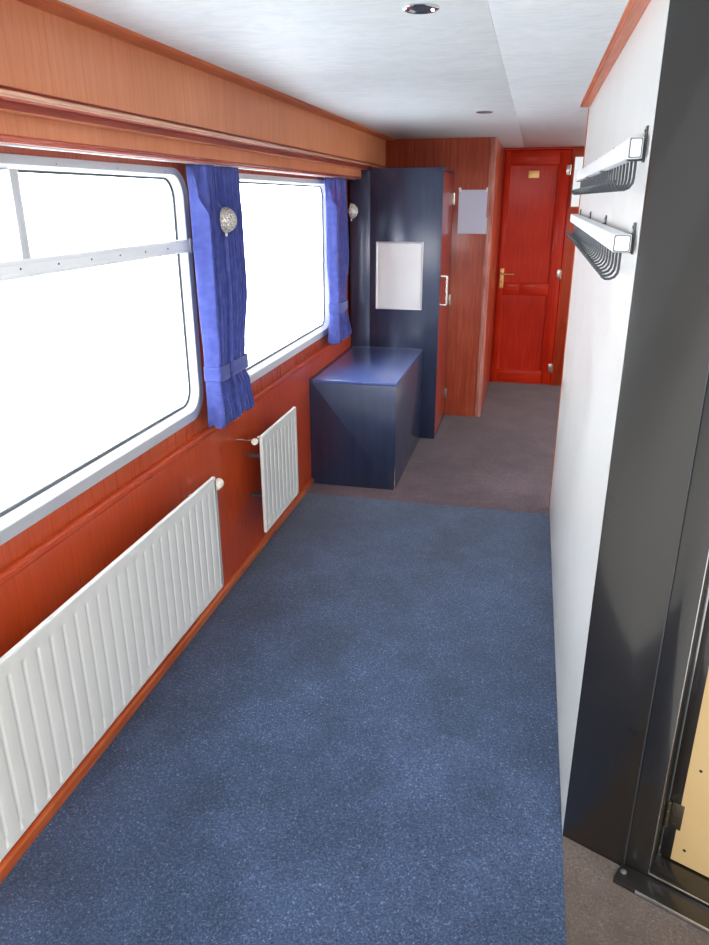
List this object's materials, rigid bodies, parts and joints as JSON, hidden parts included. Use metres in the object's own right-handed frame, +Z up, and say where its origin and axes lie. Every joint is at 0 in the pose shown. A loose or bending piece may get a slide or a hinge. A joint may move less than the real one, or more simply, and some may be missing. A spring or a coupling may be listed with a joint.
{
  "type": "side passage section of a passenger ship's deckhouse",
  "caption": "Passenger ship side passage: deck, ship's side with windows, curtains and radiators, lockers, coat racks, bulkheads and hinged doors.",
  "frame": {"origin": "centre of the section's footprint, at the underside of the deck beams", "axes": "+X inboard from the ship's side, +Y forward along the passage, +Z up"},
  "size_m": [2.36, 5.96, 2.2],
  "materials": {
    "painted_steel": "white gloss paint",
    "deck_paint": "grey deck paint",
    "mahogany": "satin varnish",
    "door_mahogany": "satin varnish",
    "blue_carpet": "needled pile",
    "grey_carpet": "needled pile",
    "white_board": "white painted board",
    "aluminium": "satin anodised",
    "glass": "clear",
    "blue_cloth": "woven curtain cloth",
    "radiator_enamel": "white enamel",
    "dark_laminate": "dark blue laminate",
    "black_gloss": "black gloss paint",
    "cream_paint": "satin paint",
    "brass": "polished",
    "dark_steel": "dark lacquered",
    "chrome": "bright",
    "lamp_glass": "mottled silver"
  },
  "bodies": {
    "section": {"deck_beams": "deck_paint", "deck_core": "deck_paint", "deck_plate": "deck_paint", "carpet_blue": "blue_carpet", "carpet_grey": "grey_carpet", "carpet_brown": "grey_carpet", "side_plating": "painted_steel", "lining_upper": "mahogany", "lining_dado": "mahogany", "skirting": "mahogany", "window_1_frame": "aluminium", "window_1_pane_low": "glass", "window_1_pane_vent": "glass", "window_1_pane_high": "glass", "window_2_frame": "aluminium", "window_2_pane": "glass", "pelmet_upper": "mahogany", "pelmet_lower": "mahogany", "cornice_side": "mahogany", "curtain_rail": "aluminium", "curtain_1_aft": "blue_cloth", "curtain_1_fore": "blue_cloth", "curtain_2_aft": "blue_cloth", "curtain_2_fore": "blue_cloth", "wall_lamp_1": "lamp_glass", "wall_lamp_2": "lamp_glass", "radiator_1": "radiator_enamel", "radiator_1_valve": "radiator_enamel", "radiator_2": "radiator_enamel", "radiator_2_valve": "radiator_enamel", "low_cupboard": "dark_laminate", "tall_cabinet": "dark_laminate", "cabinet_filler": "dark_laminate", "notice_frame": "aluminium", "corner_bulkhead": "mahogany", "corner_strip": "mahogany", "end_bulkhead_port": "mahogany", "end_bulkhead_starboard": "mahogany", "end_window_frame": "mahogany", "end_window_pane": "glass", "end_door_frame": "door_mahogany", "partition": "white_board", "partition_trim": "mahogany", "cornice_partition": "mahogany", "coat_rack_upper": "dark_steel", "coat_rack_lower": "dark_steel", "portal_panel": "black_gloss", "portal_frame": "black_gloss", "ceiling_outboard": "white_board", "ceiling_inboard": "white_board", "downlight_1": "chrome", "downlight_2": "chrome", "roof": "painted_steel"},
    "cupboard_lid": {"low_cupboard_lid": "dark_laminate"},
    "cabinet_leaf": {"cabinet_door": "mahogany", "cabinet_handle": "aluminium"},
    "end_leaf": {"end_door": "door_mahogany", "end_door_handle": "brass", "end_door_handle_far": "brass"},
    "portal_leaf": {"portal_door": "cream_paint"}
  },
  "joints": [
    {"name": "cupboard_lid_hinge", "type": "hinge", "parent": "section", "child": "cupboard_lid", "pos_m": [-1.08, 0.5475, 0.763], "axis": [0, -1, 0], "range_deg": [0, 60]},
    {"name": "cabinet_door_hinge", "type": "hinge", "parent": "section", "child": "cabinet_leaf", "pos_m": [-0.4887, 1.6855, 1], "axis": [0, 0, 1], "range_deg": [0, 85]},
    {"name": "end_door_hinge", "type": "hinge", "parent": "section", "child": "end_leaf", "pos_m": [0.3395, 2.8837, 1.1], "axis": [0, 0, 1], "range_deg": [0, 90]},
    {"name": "portal_door_hinge", "type": "hinge", "parent": "section", "child": "portal_leaf", "pos_m": [0.52896, -2.3334, 1.06], "axis": [0, 0, -1], "range_deg": [0, 85]}
  ]
}
